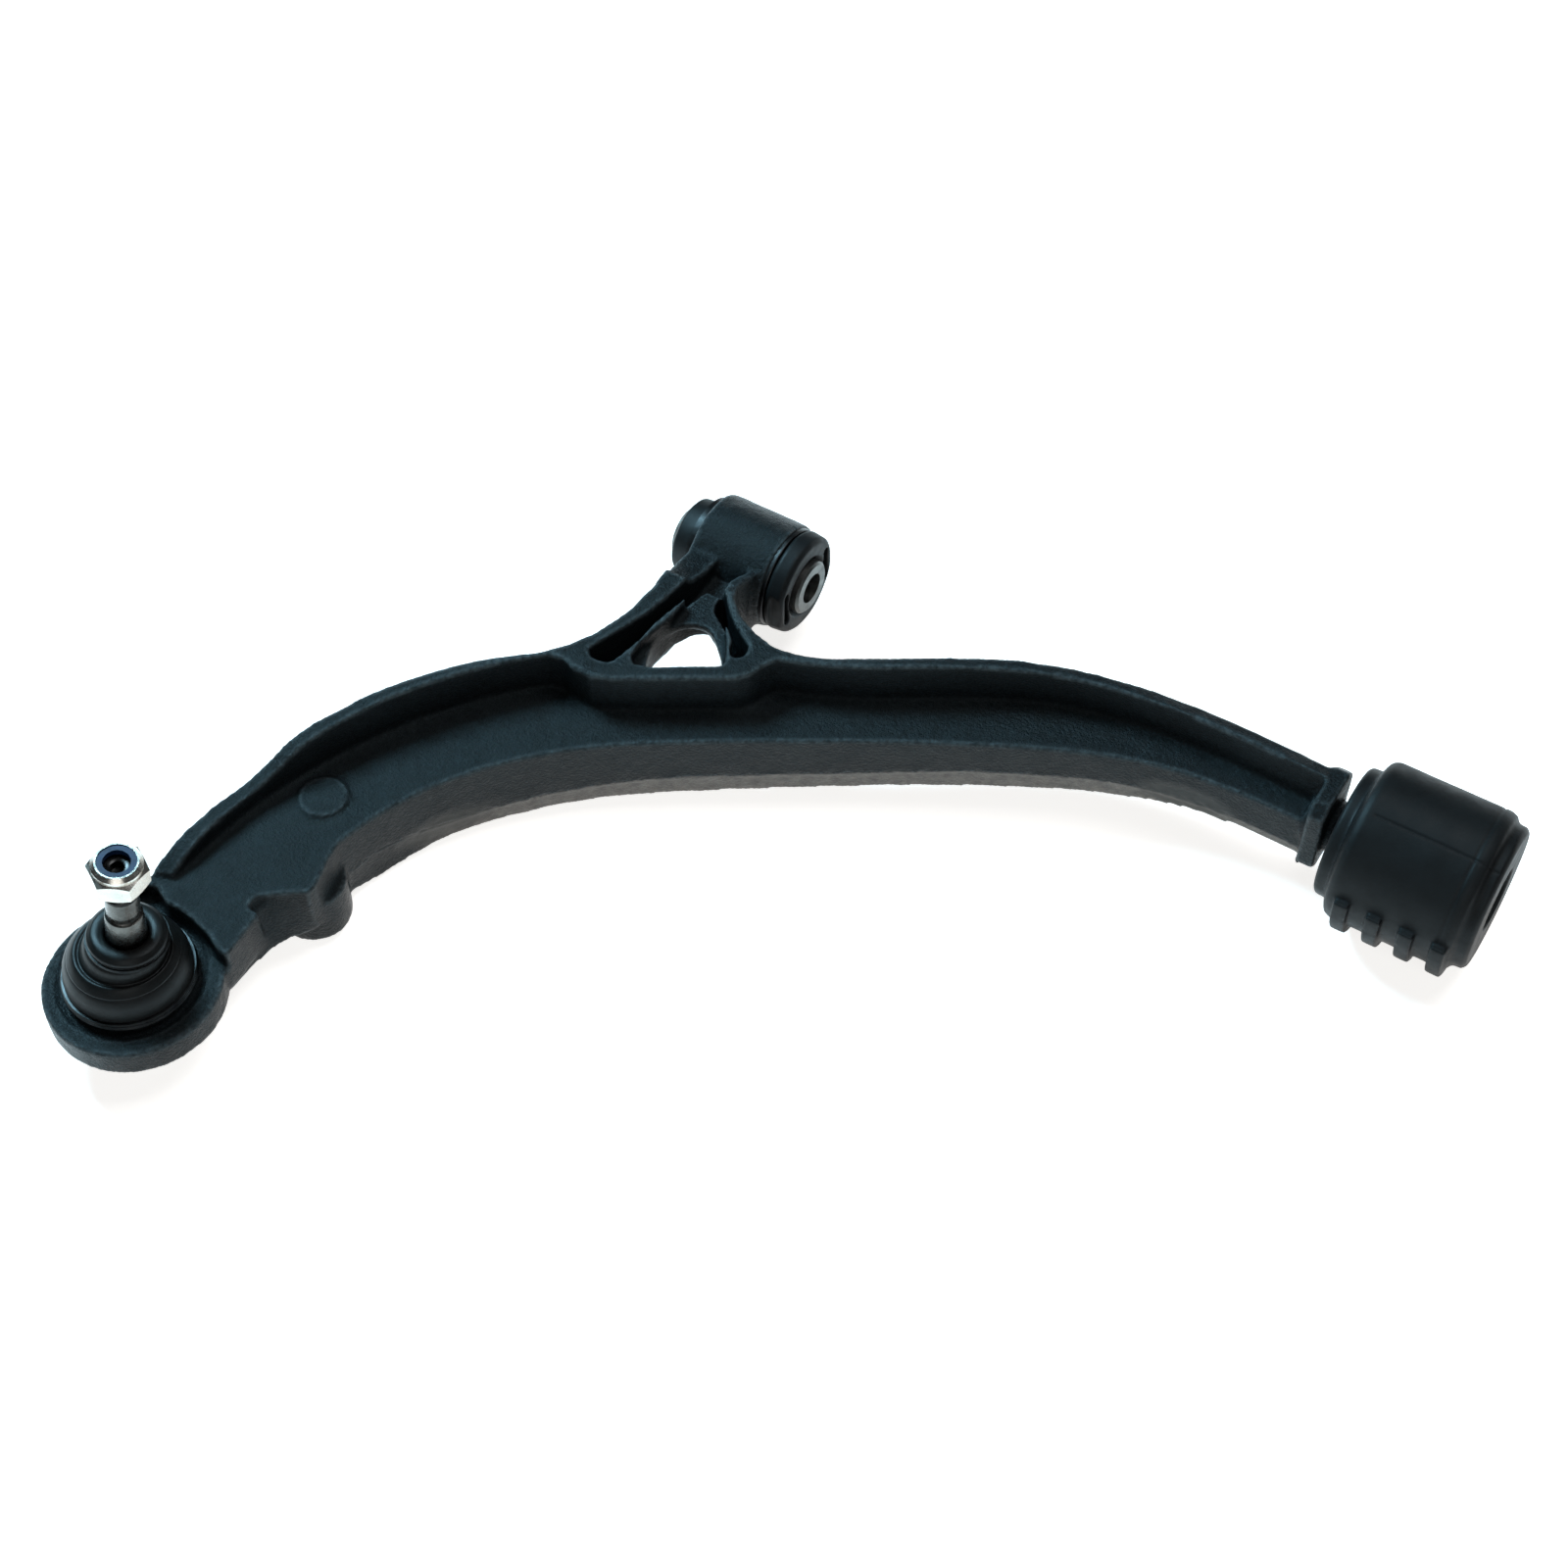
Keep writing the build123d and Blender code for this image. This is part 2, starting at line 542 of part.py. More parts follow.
with BuildPart() as nylon_insert:
    with BuildSketch(STUD_PLANE.offset(NUT_S0 + 7.6)):
        Circle(7.0)
        Circle(6.05, mode=Mode.SUBTRACT)
    extrude(amount=3.4)
    with BuildSketch(STUD_PLANE.offset(NUT_S0 + 8.6)):
        Circle(7.0)
        Circle(4.8, mode=Mode.SUBTRACT)
    extrude(amount=2.4)
    with BuildSketch(STUD_PLANE.offset(NUT_S0)):
        Circle(6.05)
    extrude(amount=8.1, mode=Mode.SUBTRACT)
nylon_insert.part.label = "nylon_insert"
export_step(nylon_insert.part, "parts/nylon_insert.step")

# dust boot: rings of the outer and inner skin, from the base to the lip.
# The first rings are level; the last ones lean with the stud.
BOOT_OUT = [(0.0, -2.2, 23.2), (0.0, 2.6, 23.2), (0.0, 5.5, 22.7),
            (0.2, 9.5, 20.8), (0.4, 13.4, 18.1), (0.6, 15.8, 15.7),
            (0.8, 19.4, 14.3), (1.0, 21.4, 13.4), (1.0, 23.4, 14.0),
            (1.0, 26.3, 12.4)]
BOOT_IN = [(0.0, -3.2, 21.1), (0.0, 2.6, 21.1), (0.0, 5.3, 20.6),
           (0.2, 8.8, 18.8), (0.4, 12.2, 16.3), (0.6, 14.8, 13.6),
           (0.8, 18.2, 12.2), (1.0, 21.2, 11.4), (1.0, 23.0, 8.9),
           (1.0, 27.5, 8.9)]


def boot_plane(share, height):
    """Plane of one boot ring: share 0 is level, 1 leans with the stud."""
    t = math.radians(LEAN) * share
    zd = (UX * math.sin(t), UY * math.sin(t), math.cos(t))
    xd = (UX * math.cos(t), UY * math.cos(t), -math.sin(t))
    s = (height - BZ) * share
    z0 = BZ + (height - BZ) * (1 - share)
    return Plane(origin=(BX + zd[0] * s, BY + zd[1] * s, z0 + zd[2] * s),
                 x_dir=xd, z_dir=zd)


with BuildPart() as dust_boot:
    for share, height, radius in BOOT_OUT:
        with BuildSketch(boot_plane(share, height)):
            Circle(radius)
    loft(ruled=True)
    for share, height, radius in BOOT_IN:
        with BuildSketch(boot_plane(share, height)):
            Circle(radius)
    loft(ruled=True, mode=Mode.SUBTRACT)
dust_boot.part.label = "dust_boot"
export_step(dust_boot.part, "parts/dust_boot.step")

with BuildPart() as boot_lower_ring:
    with BuildSketch(Plane.XZ.offset(-BY)):
        with BuildLine():
            Polyline((BX + 23.25, -1.6), (BX + 24.3, -1.6), (BX + 24.7, -1.0),
                     (BX + 24.2, -0.2), (BX + 24.5, 0.7), (BX + 24.1, 1.3),
                     (BX + 23.25, 1.3), close=True)
        make_face()
    revolve(axis=Axis((BX, BY, 0), (0, 0, 1)))
boot_lower_ring.part.label = "boot_lower_ring"
export_step(boot_lower_ring.part, "parts/boot_lower_ring.step")

with BuildPart() as boot_upper_ring:
    with BuildSketch(STUD_PLANE.offset(21.4 - BZ - 0.7)):
        Circle(14.8)
        Circle(14.05, mode=Mode.SUBTRACT)
    extrude(amount=1.4)
boot_upper_ring.part.label = "boot_upper_ring"
export_step(boot_upper_ring.part, "parts/boot_upper_ring.step")
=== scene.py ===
import math

import bmesh
import bpy
import numpy as np
from mathutils import Matrix, Vector


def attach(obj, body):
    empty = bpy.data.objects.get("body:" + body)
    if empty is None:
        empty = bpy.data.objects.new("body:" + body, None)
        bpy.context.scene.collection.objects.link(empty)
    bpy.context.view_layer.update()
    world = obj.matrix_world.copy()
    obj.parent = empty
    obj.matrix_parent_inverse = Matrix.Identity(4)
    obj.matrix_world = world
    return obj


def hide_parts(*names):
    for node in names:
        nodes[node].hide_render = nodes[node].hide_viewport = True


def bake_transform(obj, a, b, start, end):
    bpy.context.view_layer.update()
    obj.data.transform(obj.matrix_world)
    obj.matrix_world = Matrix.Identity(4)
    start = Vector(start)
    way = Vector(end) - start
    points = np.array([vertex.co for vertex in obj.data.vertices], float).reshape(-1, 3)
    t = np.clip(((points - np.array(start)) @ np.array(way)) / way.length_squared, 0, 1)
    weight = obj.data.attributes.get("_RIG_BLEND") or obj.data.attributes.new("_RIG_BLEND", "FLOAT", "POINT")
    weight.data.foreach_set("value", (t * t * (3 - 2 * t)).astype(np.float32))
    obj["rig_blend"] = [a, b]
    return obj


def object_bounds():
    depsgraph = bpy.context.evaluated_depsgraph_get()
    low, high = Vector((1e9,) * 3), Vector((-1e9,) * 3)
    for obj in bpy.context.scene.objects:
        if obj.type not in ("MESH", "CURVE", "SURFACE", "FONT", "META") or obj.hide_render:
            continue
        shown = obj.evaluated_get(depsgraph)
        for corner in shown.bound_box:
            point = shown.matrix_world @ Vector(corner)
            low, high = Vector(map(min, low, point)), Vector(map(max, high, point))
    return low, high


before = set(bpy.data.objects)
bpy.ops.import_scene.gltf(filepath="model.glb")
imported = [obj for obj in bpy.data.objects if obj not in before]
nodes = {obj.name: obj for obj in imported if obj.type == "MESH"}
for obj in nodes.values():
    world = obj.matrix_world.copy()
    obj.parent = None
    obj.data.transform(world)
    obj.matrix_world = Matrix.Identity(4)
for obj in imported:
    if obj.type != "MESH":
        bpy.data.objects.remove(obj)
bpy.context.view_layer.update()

MM = 0.001

# --------------------------------------------------------------- camera
right = Vector((math.cos(math.radians(31.61)), math.sin(math.radians(31.61)), 0))
back = Vector((math.sin(math.radians(31.61)) * math.cos(math.radians(52)),
               -math.cos(math.radians(31.61)) * math.cos(math.radians(52)),
               math.sin(math.radians(52))))
up = back.cross(right)
camera = bpy.data.objects.new("camera", bpy.data.cameras.new("camera"))
bpy.context.scene.collection.objects.link(camera)
camera.matrix_world = Matrix((
    (right.x, up.x, back.x, 0.38719), (right.y, up.y, back.y, -0.60101),
    (right.z, up.z, back.z, 0.76554), (0, 0, 0, 1)))
camera.data.sensor_width = 36
camera.data.lens = 58.5
camera.data.clip_start, camera.data.clip_end = 0.01, 50
bpy.context.scene.camera = camera
bpy.context.scene.view_settings.view_transform = "Standard"


# ------------------------------------------------------------ materials
class Nodes:
    """A small wrapper that builds a procedural material."""

    def __init__(self, name, **sockets):
        self.material = bpy.data.materials.new(name)
        self.material.use_nodes = True
        self.tree = self.material.node_tree
        self.bsdf = next(n for n in self.tree.nodes if n.type == "BSDF_PRINCIPLED")
        for key, value in sockets.items():
            self.bsdf.inputs[key.replace("_", " ")].default_value = value
        self.coord = self.tree.nodes.new("ShaderNodeTexCoord").outputs["Object"]

    def new(self, kind, **values):
        node = self.tree.nodes.new(kind)
        for key, value in values.items():
            setattr(node, key, value)
        return node

    def link(self, a, b):
        self.tree.links.new(a, b)

    def noise(self, scale, detail=3.0, rough=0.55, stretch=None):
        node = self.new("ShaderNodeTexNoise")
        node.inputs["Scale"].default_value = scale
        node.inputs["Detail"].default_value = detail
        node.inputs["Roughness"].default_value = rough
        source = self.coord
        if stretch:
            mapping = self.new("ShaderNodeMapping")
            mapping.inputs["Scale"].default_value = stretch
            self.link(self.coord, mapping.inputs["Vector"])
            source = mapping.outputs["Vector"]
        self.link(source, node.inputs["Vector"])
        return node.outputs["Fac"]

    def cells(self, scale):
        node = self.new("ShaderNodeTexVoronoi")
        node.inputs["Scale"].default_value = scale
        self.link(self.coord, node.inputs["Vector"])
        return node.outputs["Distance"]

    def ramp(self, fac, stops):
        node = self.new("ShaderNodeValToRGB")
        elements = node.color_ramp.elements
        while len(elements) < len(stops):
            elements.new(0.5)
        for element, (place, colour) in zip(elements, stops):
            element.position = place
            element.color = (*colour, 1) if hasattr(colour, "__len__") else (colour,) * 3 + (1,)
        self.link(fac, node.inputs["Fac"])
        return node.outputs["Color"]

    def mix(self, fac, a, b):
        node = self.new("ShaderNodeMix", data_type="RGBA")
        self.link(fac, node.inputs["Factor"])
        self.link(a, node.inputs["A"])
        self.link(b, node.inputs["B"])
        return node.outputs["Result"]

    def over(self, fac, a, colour):
        node = self.new("ShaderNodeMix", data_type="RGBA")
        self.link(fac, node.inputs["Factor"])
        self.link(a, node.inputs["A"])
        node.inputs["B"].default_value = (*colour, 1)
        return node.outputs["Result"]

    def span(self, fac, lo, hi, a=0.3, b=0.7):
        node = self.new("ShaderNodeMapRange")
        node.inputs["From Min"].default_value = a
        node.inputs["From Max"].default_value = b
        node.inputs["To Min"].default_value = lo
        node.inputs["To Max"].default_value = hi
        self.link(fac, node.inputs["Value"])
        return node.outputs["Result"]

    def attribute(self, name):
        node = self.new("ShaderNodeAttribute", attribute_name=name)
        return node.outputs["Fac"]

    def math(self, op, a, b):
        node = self.new("ShaderNodeMath", operation=op)
        for i, value in enumerate((a, b)):
            if hasattr(value, "links"):
                self.link(value, node.inputs[i])
            else:
                node.inputs[i].default_value = value
        return node.outputs["Value"]

    def bump(self, *layers):
        """layers: (height, distance in metres, strength), coarse first."""
        previous = None
        for height, distance, strength in layers:
            node = self.new("ShaderNodeBump")
            node.inputs["Distance"].default_value = distance
            node.inputs["Strength"].default_value = strength
            self.link(height, node.inputs["Height"])
            if previous is not None:
                self.link(previous, node.inputs["Normal"])
            previous = node.outputs["Normal"]
        self.link(previous, self.bsdf.inputs["Normal"])

    def done(self, colour=None, roughness=None):
        if colour is not None:
            self.link(colour, self.bsdf.inputs["Base Color"])
        if roughness is not None:
            self.link(roughness, self.bsdf.inputs["Roughness"])
        return self.material


def casting_material():
    m = Nodes("cast_coat", Specular_Tint=(0.78, 0.94, 1.0, 1), IOR=1.5, Specular_IOR_Level=0.17)
    broad = m.noise(38, 4, 0.6)
    grain = m.noise(900, 4, 0.65)
    sand = m.noise(2300, 3, 0.6)
    pits = m.cells(620)
    colour = m.ramp(broad, [(0.25, (0.0026, 0.0034, 0.0040)),
                            (0.55, (0.0040, 0.0056, 0.0066)),
                            (0.80, (0.0058, 0.0084, 0.0098))])
    # painted glints: teal specks on the grain stand in for the sparkle of light on the coat
    glint_specks = m.ramp(grain, [(0.52, 0.0), (0.70, 1.0)])
    colour = m.over(m.math("MULTIPLY", glint_specks, 0.55), colour, (0.011, 0.019, 0.023))
    # painted highlight: convex edges turn a lighter teal, as if catching the light
    edge_glow_mask = m.attribute("painted_edge_highlight")
    edge_glow_mask = m.math("MULTIPLY", edge_glow_mask, m.span(m.noise(420, 3), 0.15, 1.0))
    colour = m.over(edge_glow_mask, colour, (0.045, 0.058, 0.064))
    # painted reflection: the near wall's lower strip turns a light brownish grey, standing in for the bright floor
    # reflected there
    reflection_strip = m.attribute("painted_floor_reflection")
    reflection_strip = m.math("MULTIPLY", reflection_strip, m.span(m.noise(300, 4), 0.55, 1.0))
    colour = m.over(reflection_strip, colour, (0.150, 0.137, 0.124))
    ground = m.attribute("ground_patch")
    colour = m.over(m.math("MULTIPLY", ground, 0.75), colour, (0.034, 0.032, 0.029))
    roughness = m.span(m.noise(260, 4), 0.28, 0.42)
    smooth = m.math("SUBTRACT", 1.0, ground)
    m.bump((m.math("MULTIPLY", m.noise(240, 3), smooth), 0.00045, 0.7),
           (m.math("MULTIPLY", grain, smooth), 0.00065, 1.0),
           (m.math("MULTIPLY", pits, smooth), 0.00016, 0.5),
           (sand, 0.00012, 0.8))
    return m.done(colour, roughness)


def rubber_material(name, base, low, high, seam=None):
    m = Nodes(name, Specular_Tint=(0.85, 0.95, 1.0, 1), IOR=1.5, Specular_IOR_Level=0.20)
    broad = m.noise(45, 5, 0.6)
    fine = m.noise(1500, 3)
    colour = m.ramp(broad, [(0.30, tuple(c * 0.75 for c in base)),
                            (0.60, base), (0.78, tuple(c * 1.45 for c in base))])
    dust = m.ramp(m.noise(190, 6, 0.7), [(0.58, 0.0), (0.80, 0.5)])
    colour = m.over(dust, colour, tuple(c * 2.1 for c in base))
    roughness = m.span(m.noise(120, 4), low, high)
    m.bump((m.noise(110, 3), 0.00025, 0.35), (fine, 0.00006, 0.5))
    return m.done(colour, roughness)


def steel_material(name, dark, light, low, high, rings=None, stretch=None, end=None):
    m = Nodes(name, Metallic=1.0)
    patch = m.noise(160, 4, 0.6, stretch)
    colour = m.ramp(patch, [(0.25, dark), (0.75, light)])
    if end:
        colour = m.over(m.attribute(end), colour, (0.030, 0.031, 0.032))
    roughness = m.span(m.noise(420, 3, 0.55, stretch), low, high)
    layers = [(m.noise(1100, 3, 0.6, stretch), 0.00005, 0.6)]
    if rings:
        layers.insert(0, (m.noise(rings, 2, 0.5, (1, 0.02, 0.02)), 0.00005, 0.7))
    m.bump(*layers)
    return m.done(colour, roughness)


def polymer_material(name, dark, light, low, high):
    m = Nodes(name, IOR=1.5, Specular_IOR_Level=0.3)
    colour = m.ramp(m.noise(300, 3), [(0.3, dark), (0.7, light)])
    m.bump((m.noise(900, 3), 0.00004, 0.6))
    return m.done(colour, m.span(m.noise(500, 2), low, high))


CAST = casting_material()
BUSH = rubber_material("bush_rubber", (0.0046, 0.0054, 0.0060), 0.46, 0.62)
BOOT = rubber_material("boot_rubber", (0.0046, 0.0047, 0.0046), 0.36, 0.48)
SLEEVE = steel_material("sleeve_steel", (0.055, 0.058, 0.057), (0.14, 0.145, 0.14), 0.36, 0.52, rings=9000)
OUTER = steel_material("outer_sleeve_steel", (0.016, 0.018, 0.020), (0.062, 0.066, 0.068), 0.30, 0.46)
LINER = steel_material("liner_steel", (0.040, 0.043, 0.044), (0.09, 0.095, 0.097), 0.36, 0.52)
HOUSING = steel_material("housing_steel", (0.030, 0.034, 0.037), (0.075, 0.080, 0.082), 0.38, 0.55)
RING = steel_material("ring_steel", (0.012, 0.014, 0.015), (0.040, 0.044, 0.046), 0.34, 0.46)
TAPER = steel_material("stud_steel", (0.060, 0.060, 0.057), (0.135, 0.134, 0.126), 0.22, 0.36,
                       end="thread_end")
ZINC = steel_material("zinc", (0.52, 0.51, 0.47), (0.74, 0.72, 0.66), 0.18, 0.32)
NYLON = polymer_material("nylon", (0.0012, 0.010, 0.036), (0.0026, 0.022, 0.072), 0.38, 0.52)
ACETAL = polymer_material("polymer", (0.66, 0.64, 0.56), (0.80, 0.78, 0.71), 0.32, 0.48)


# -------------------------------------------------------------- helpers
def link(name, mesh):
    obj = bpy.data.objects.new(name, mesh)
    bpy.context.scene.collection.objects.link(obj)
    return obj


def give(obj, material):
    obj.data.materials.clear()
    obj.data.materials.append(material)


def get_co(mesh):
    co = np.empty(len(mesh.vertices) * 3)
    mesh.vertices.foreach_get("co", co)
    return co.reshape(-1, 3)


def set_co(mesh, co):
    mesh.vertices.foreach_set("co", co.astype(np.float32).ravel())
    mesh.update()


def normals(mesh):
    n = np.empty(len(mesh.vertices) * 3)
    mesh.vertices.foreach_get("normal", n)
    return n.reshape(-1, 3)


def edges(mesh):
    e = np.empty(len(mesh.edges) * 2, int)
    mesh.edges.foreach_get("vertices", e)
    return e.reshape(-1, 2)


def neighbour_mean(co, e):
    count = np.bincount(e.ravel(), minlength=len(co))
    total = np.empty_like(co)
    for k in range(3):
        total[:, k] = (np.bincount(e[:, 0], co[e[:, 1], k], len(co))
                       + np.bincount(e[:, 1], co[e[:, 0], k], len(co)))
    return total / np.maximum(count, 1)[:, None]


def relax(co, e, rounds, factor=0.5, keep=0.0):
    """Smooths; keep pushes back so that the shape doesn't shrink."""
    for _ in range(rounds):
        co = co + factor * (neighbour_mean(co, e) - co)
        if keep:
            co = co - keep * (neighbour_mean(co, e) - co)
    return co


def convexity(mesh):
    """How sharply the surface turns outwards at each vertex, 0 to 1."""
    co, e = get_co(mesh), edges(mesh)
    for _ in range(1):
        away = ((co - neighbour_mean(co, e)) * normals(mesh)).sum(1)
    size = np.linalg.norm(co[e[:, 0]] - co[e[:, 1]], axis=1).mean()
    return np.clip((away / size - 0.022) / 0.06, 0, 1)


def remeshed(node, name, voxel):
    """A copy of a CAD node as one even, closed quad mesh."""
    source = nodes[node].data.copy()
    work = bmesh.new()
    work.from_mesh(source)
    bmesh.ops.remove_doubles(work, verts=work.verts, dist=2e-6)
    work.to_mesh(source)
    work.free()
    temporary = link("temporary", source)
    modifier = temporary.modifiers.new("even", "REMESH")
    modifier.mode = "VOXEL"
    modifier.voxel_size = voxel
    modifier.adaptivity = 0
    graph = bpy.context.evaluated_depsgraph_get()
    mesh = bpy.data.meshes.new_from_object(temporary.evaluated_get(graph), depsgraph=graph)
    bpy.data.objects.remove(temporary)
    mesh.name = name
    for layer in list(mesh.attributes):
        if layer.name.startswith("custom") or layer.name == "sharp_edge":
            mesh.attributes.remove(layer)
    obj = link(name, mesh)
    obj.data.shade_smooth()
    return obj


def store(mesh, name, values):
    layer = mesh.attributes.get(name) or mesh.attributes.new(name, "FLOAT", "POINT")
    layer.data.foreach_set("value", np.asarray(values, np.float32))


def lattice_noise(points, size, seed):
    """Smooth value noise at points, about -1 to 1, with cells of that size."""
    p = points / size
    cell = np.floor(p).astype(np.int64)
    f = p - cell
    f = f * f * (3 - 2 * f)
    total = np.zeros(len(points))
    for dx in (0, 1):
        for dy in (0, 1):
            for dz in (0, 1):
                h = ((cell[:, 0] + dx) * 374761393 + (cell[:, 1] + dy) * 668265263
                     + (cell[:, 2] + dz) * 2147483647 + seed * 1274126177)
                h = (h ^ (h >> 13)) * 1103515245
                value = ((h ^ (h >> 16)) & 0xFFFF) / 32767.5 - 1
                w = (np.where(dx, f[:, 0], 1 - f[:, 0]) * np.where(dy, f[:, 1], 1 - f[:, 1])
                     * np.where(dz, f[:, 2], 1 - f[:, 2]))
                total += w * value
    return total


# -------------------------------------------------------- the arm casting
NEAR = np.array([(-51.0, -206.0), (-43.4, -179.4), (-30.8, -155.7), (-14.0, -134.9),
                 (5.9, -116.7), (28.0, -100.8), (51.0, -85.9), (74.3, -71.5),
                 (97.7, -57.4), (121.4, -43.9), (145.6, -31.2), (170.2, -20.0),
                 (195.7, -12.0), (222.2, -8.8), (253.0, -8.4)]) * MM
PARTING = np.array([(-205, -16), (-190, -15), (-172, -18), (-158, -20.4),
                    (-140, -20.2), (-122, -19.4), (-105, -16.8), (-86, -15.8),
                    (-65, -14.6), (-40, -11.5), (-14, -10.5), (-7, -10)]) * MM


def near_wall(co):
    """Distance outside the near wall's plan line, and the outward direction."""
    best = np.full(len(co), 1e9)
    side = np.zeros(len(co))
    out = np.zeros((len(co), 2))
    inside = np.zeros(len(co), bool)
    for a, b in zip(NEAR[:-1], NEAR[1:]):
        d = b - a
        length = np.linalg.norm(d)
        t = ((co[:, :2] - a) @ d) / length ** 2
        at = a + np.clip(t, 0, 1)[:, None] * d
        gap = co[:, :2] - at
        dist = np.linalg.norm(gap, axis=1)
        n = np.array((d[1], -d[0])) / length
        near = dist < best
        best = np.where(near, dist, best)
        side = np.where(near, gap @ n, side)
        out[near] = n
        inside = np.where(near, (t > -0.02) & (t < 1.02), inside)
    return side, out, inside


arm = remeshed("arm_casting", "arm_casting_body", 0.0009)
co, e = get_co(arm.data), edges(arm.data)
co = relax(co, e, 4, 0.5)

side, out, beside = near_wall(co)
part_z = np.interp(co[:, 1], PARTING[:, 0], PARTING[:, 1])
# below the parting line the wall's outer face fills out again, then its foot rounds in
depth = np.clip(part_z - co[:, 2], 0, 0.02)
outer = np.clip((side + 0.0045) / 0.0015, 0, 1) * beside * (side < 0.004)
fill = 0.0013 * np.clip(depth / 0.0012, 0, 1) * np.clip(1 - depth / 0.011, 0, 1)
co[:, :2] += out * (outer * fill)[:, None]
# a rough flash stands along the parting line
ripple = lattice_noise(co, 0.0022, 3) * 0.5 + 0.5
flash = np.exp(-((co[:, 2] - part_z) / 0.0008) ** 2) * (np.abs(side) < 0.0026) * beside
co[:, :2] += out * (flash * ripple * 0.0006)[:, None]
set_co(arm.data, co)
# convexity of the surface, which drives the painted edge highlight in the coat's colour
edge_highlight = convexity(arm.data)
# the skin of a sand casting isn't quite even
n = normals(arm.data)
uneven = (lattice_noise(co, 0.011, 1) * 0.00016 + lattice_noise(co, 0.0045, 2) * 0.00009
          + lattice_noise(co, 0.0021, 5) * 0.00005)
fits = (np.hypot(co[:, 0] + 0.0825, co[:, 1] + 0.2882) < 0.0225) | (
    (np.hypot(co[:, 1], co[:, 2]) < 0.0206) & (co[:, 0] < 0.03)) | (co[:, 0] > 0.2605)
co += n * (uneven * ~fits)[:, None]
set_co(arm.data, co)
store(arm.data, "painted_edge_highlight", edge_highlight)
# patches ground smooth after casting: beside the lug and by the collar
patch = np.maximum(
    np.clip(1.5 - np.linalg.norm((co - np.array((-0.030, -0.166, -0.022))) / (0.017, 0.017, 0.007), axis=1), 0, 1),
    np.clip(1.5 - np.linalg.norm((co - np.array((0.205, -0.012, -0.010))) / (0.016, 0.006, 0.006), axis=1), 0, 1))
store(arm.data, "ground_patch", np.clip(patch * 1.6 + lattice_noise(co, 0.004, 9) * 0.25, 0, 1) * (patch > 0.02))
# the near wall's outer face below the parting line, where the floor's reflection is painted into the colour
floor_reflection_mask = np.clip((part_z - co[:, 2] - 0.0003) / 0.0005 + lattice_noise(co, 0.0016, 31) * 0.8, 0, 1)
floor_reflection_mask = floor_reflection_mask * outer * np.clip((co[:, 0] + 0.044) / 0.008, 0, 1) * (np.abs(side) < 0.0035)
store(arm.data, "painted_floor_reflection", floor_reflection_mask)
give(arm, CAST)
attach(arm, "arm")
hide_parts("arm_casting")


# ------------------------------------------------------------ the bushes
front = remeshed("front_bush_rubber", "front_bush_rubber_body", 0.0004)
co, e = get_co(front.data), edges(front.data)
co = relax(co, e, 5, 0.5)
set_co(front.data, co)
co += normals(front.data) * (lattice_noise(co, 0.004, 11) * 0.00008)[:, None]
set_co(front.data, co)
give(front, BUSH)
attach(front, "arm")
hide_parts("front_bush_rubber")

rear = remeshed("rear_bush_rubber", "rear_bush_rubber_body", 0.0006)
co, e = get_co(rear.data), edges(rear.data)
co = relax(co, e, 4, 0.5)
radius = np.hypot(co[:, 1], co[:, 2])
angle = np.arctan2(co[:, 1], co[:, 2])
radial = np.stack([np.zeros(len(co)), co[:, 1] / radius, co[:, 2] / radius], 1)
on_barrel = (co[:, 0] > 0.268) & (co[:, 0] < 0.3245) & (radius > 0.027)
# mould line along the top of the barrel, and a step line beside the flange
line = np.exp(-((angle + 0.36) * radius / 0.00045) ** 2) * (co[:, 0] > 0.276)
step = np.exp(-((co[:, 0] - 0.3146) / 0.00045) ** 2) * (radius < 0.0327)
co -= radial * (on_barrel * (line * 0.00045 + step * 0.00035))[:, None]
co += radial * (on_barrel * (lattice_noise(co, 0.012, 21) * 0.00018))[:, None]
set_co(rear.data, co)
give(rear, BUSH)
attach(rear, "rear_bush")
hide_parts("rear_bush_rubber")


# ------------------------------------------------------------ ball joint
BALL = np.array((-0.0825, -0.2882, -0.008))
LEAN = math.radians(7.0)
LENGTH = math.hypot(0.867, 0.498)
UX, UY = 0.867 / LENGTH, 0.498 / LENGTH


def lean_frame(angle):
    """Axes of a ring that leans by angle: sideways, sideways, along."""
    z = np.array((UX * math.sin(angle), UY * math.sin(angle), math.cos(angle)))
    x = np.array((UX * math.cos(angle), UY * math.cos(angle), -math.sin(angle)))
    return x, np.cross(z, x), z


def boot_ring(share, height, radius, sides):
    x, y, z = lean_frame(LEAN * share)
    above = height * MM - BALL[2]
    centre = BALL + np.array((0, 0, above * (1 - share))) + z * above * share
    t = np.linspace(0, 2 * math.pi, sides, endpoint=False)
    return centre + radius * MM * (np.outer(np.cos(t), x) + np.outer(np.sin(t), y))


def through(points, per):
    """Catmull-Rom points through the given ones."""
    p = np.array(points, float)
    p = np.vstack([2 * p[0] - p[1], p, 2 * p[-1] - p[-2]])
    made = []
    for i in range(1, len(p) - 2):
        for t in np.linspace(0, 1, per, endpoint=False):
            a, b, c, d = p[i - 1:i + 3]
            made.append(0.5 * (2 * b + (c - a) * t + (2 * a - 5 * b + 4 * c - d) * t * t
                               + (3 * b - a - 3 * c + d) * t ** 3))
    made.append(p[-2])
    return np.array(made)


